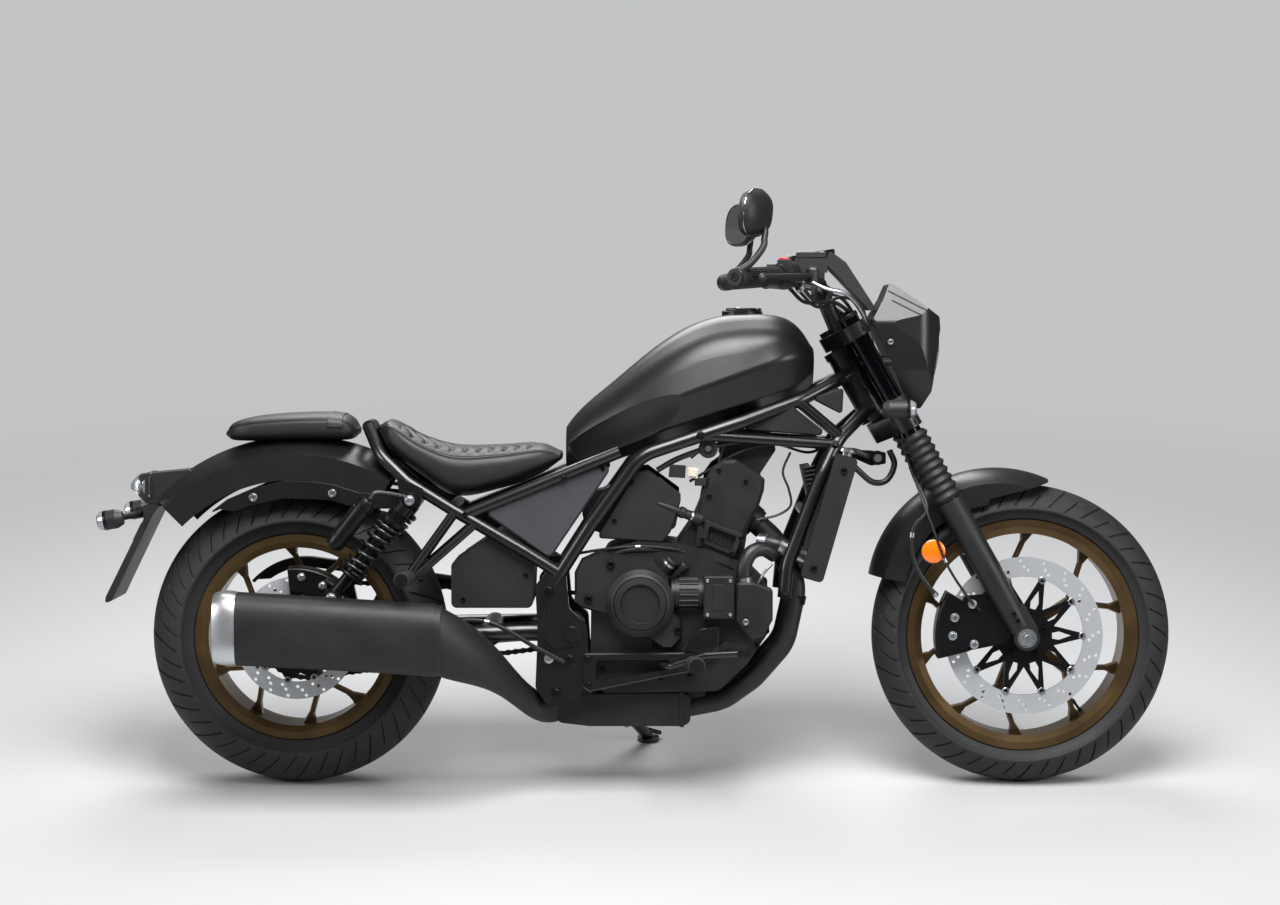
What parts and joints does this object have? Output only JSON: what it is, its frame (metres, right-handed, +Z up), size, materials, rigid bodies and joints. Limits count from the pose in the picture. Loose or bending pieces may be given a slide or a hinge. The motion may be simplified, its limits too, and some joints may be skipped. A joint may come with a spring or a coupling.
{
  "type": "cruiser motorcycle",
  "caption": "Low cruiser motorcycle with an exposed engine, bobbed rear fender and side muffler, leaning on its side stand; wheels, steering, stand and filler cap move.",
  "frame": {"origin": "on the floor below the middle of the machine's bounding box, as it leans on its side stand", "axes": "+X forward along the machine, +Y to the rider's left, +Z up"},
  "size_m": [2.233, 0.9434, 1.2893],
  "materials": {
    "satin_black_paint": "satin black paint over steel",
    "matte_black_paint": "matte black paint",
    "dark_cast_alloy": "dark painted cast alloy",
    "black_alloy": "black anodised alloy",
    "bronze_alloy": "bronze painted cast alloy",
    "stainless": "brushed stainless steel",
    "dark_steel": "dark oiled steel",
    "dark_chrome": "dark polished coating",
    "matte_black_heat_paint": "matte black heat paint",
    "black_vinyl": "black grained vinyl",
    "tyre": "black tyre rubber",
    "black_rubber": "black rubber",
    "black_plastic": "textured black plastic",
    "dark_grey_plastic": "satin dark grey plastic",
    "lamp_lens": "clear lamp lens"
  },
  "bodies": {
    "chassis": {"frame_head": "satin_black_paint", "frame_right": "satin_black_paint", "frame_left": "satin_black_paint", "rear_subframe": "satin_black_paint", "swingarm": "satin_black_paint", "rear_axle": "stainless", "crankcase": "dark_cast_alloy", "cylinder_head": "dark_cast_alloy", "clutch_cover": "dark_cast_alloy", "alternator_cover": "dark_cast_alloy", "sprocket_cover": "dark_cast_alloy", "radiator": "black_plastic", "exhaust_pipes": "matte_black_heat_paint", "muffler": "matte_black_heat_paint", "muffler_tip": "stainless", "fuel_tank": "matte_black_paint", "rider_seat": "black_vinyl", "pillion_seat": "black_vinyl", "rear_fender": "matte_black_paint", "fender_stays": "satin_black_paint", "side_covers": "dark_grey_plastic", "battery_box": "black_plastic", "airbox_panels": "black_plastic", "throttle_bodies": "dark_cast_alloy", "shock_absorbers": "black_alloy", "tail_lamp": "lamp_lens", "plate_carrier": "black_plastic", "rear_signals": "black_plastic", "rider_pegs": "satin_black_paint", "foot_controls": "satin_black_paint", "pillion_pegs": "satin_black_paint", "drive_chain": "dark_steel", "rear_caliper": "black_alloy"},
    "steering": {"fork_yokes": "satin_black_paint", "fork_stanchions": "dark_chrome", "fork_boots": "black_rubber", "fork_sliders": "dark_cast_alloy", "front_axle": "stainless", "front_caliper": "black_alloy", "front_fender": "matte_black_paint", "handlebar": "satin_black_paint", "grips": "black_rubber", "hand_controls": "black_plastic", "mirrors": "black_plastic", "display": "black_plastic", "headlamp": "matte_black_paint", "front_signals": "black_plastic"},
    "front_wheel": {"front_rim": "bronze_alloy", "front_tyre": "tyre", "front_disc": "stainless"},
    "rear_wheel": {"rear_rim": "bronze_alloy", "rear_tyre": "tyre", "rear_disc": "stainless", "rear_sprocket": "dark_steel"},
    "side_stand": {"side_stand": "satin_black_paint"},
    "fuel_cap": {"fuel_cap": "stainless"}
  },
  "joints": [
    {"name": "steering", "type": "hinge", "parent": "chassis", "child": "steering", "pos_m": [0.46111, -0.05837, 0.82167], "axis": [-0.4894, 0.1514, 0.8588], "range_deg": [-38, 38]},
    {"name": "front_wheel_spin", "type": "hinge", "parent": "steering", "child": "front_wheel", "pos_m": [0.80255, -0.14855, 0.31022], "axis": [0, 0.9848, -0.1736], "continuous": true},
    {"name": "rear_wheel_spin", "type": "hinge", "parent": "chassis", "child": "rear_wheel", "pos_m": [-0.71745, -0.149, 0.30764], "axis": [0, 0.9848, -0.1736], "continuous": true},
    {"name": "side_stand_swing", "type": "hinge", "parent": "chassis", "child": "side_stand", "pos_m": [-0.07745, -0.03447, 0.15099], "axis": [0.1151, 0.7658, 0.6327], "range_deg": [0, 98]},
    {"name": "fuel_cap_lid", "type": "hinge", "parent": "chassis", "child": "fuel_cap", "pos_m": [0.25055, -0.03023, 0.98126], "axis": [0, 0.9848, -0.1736], "range_deg": [0, 100]}
  ]
}
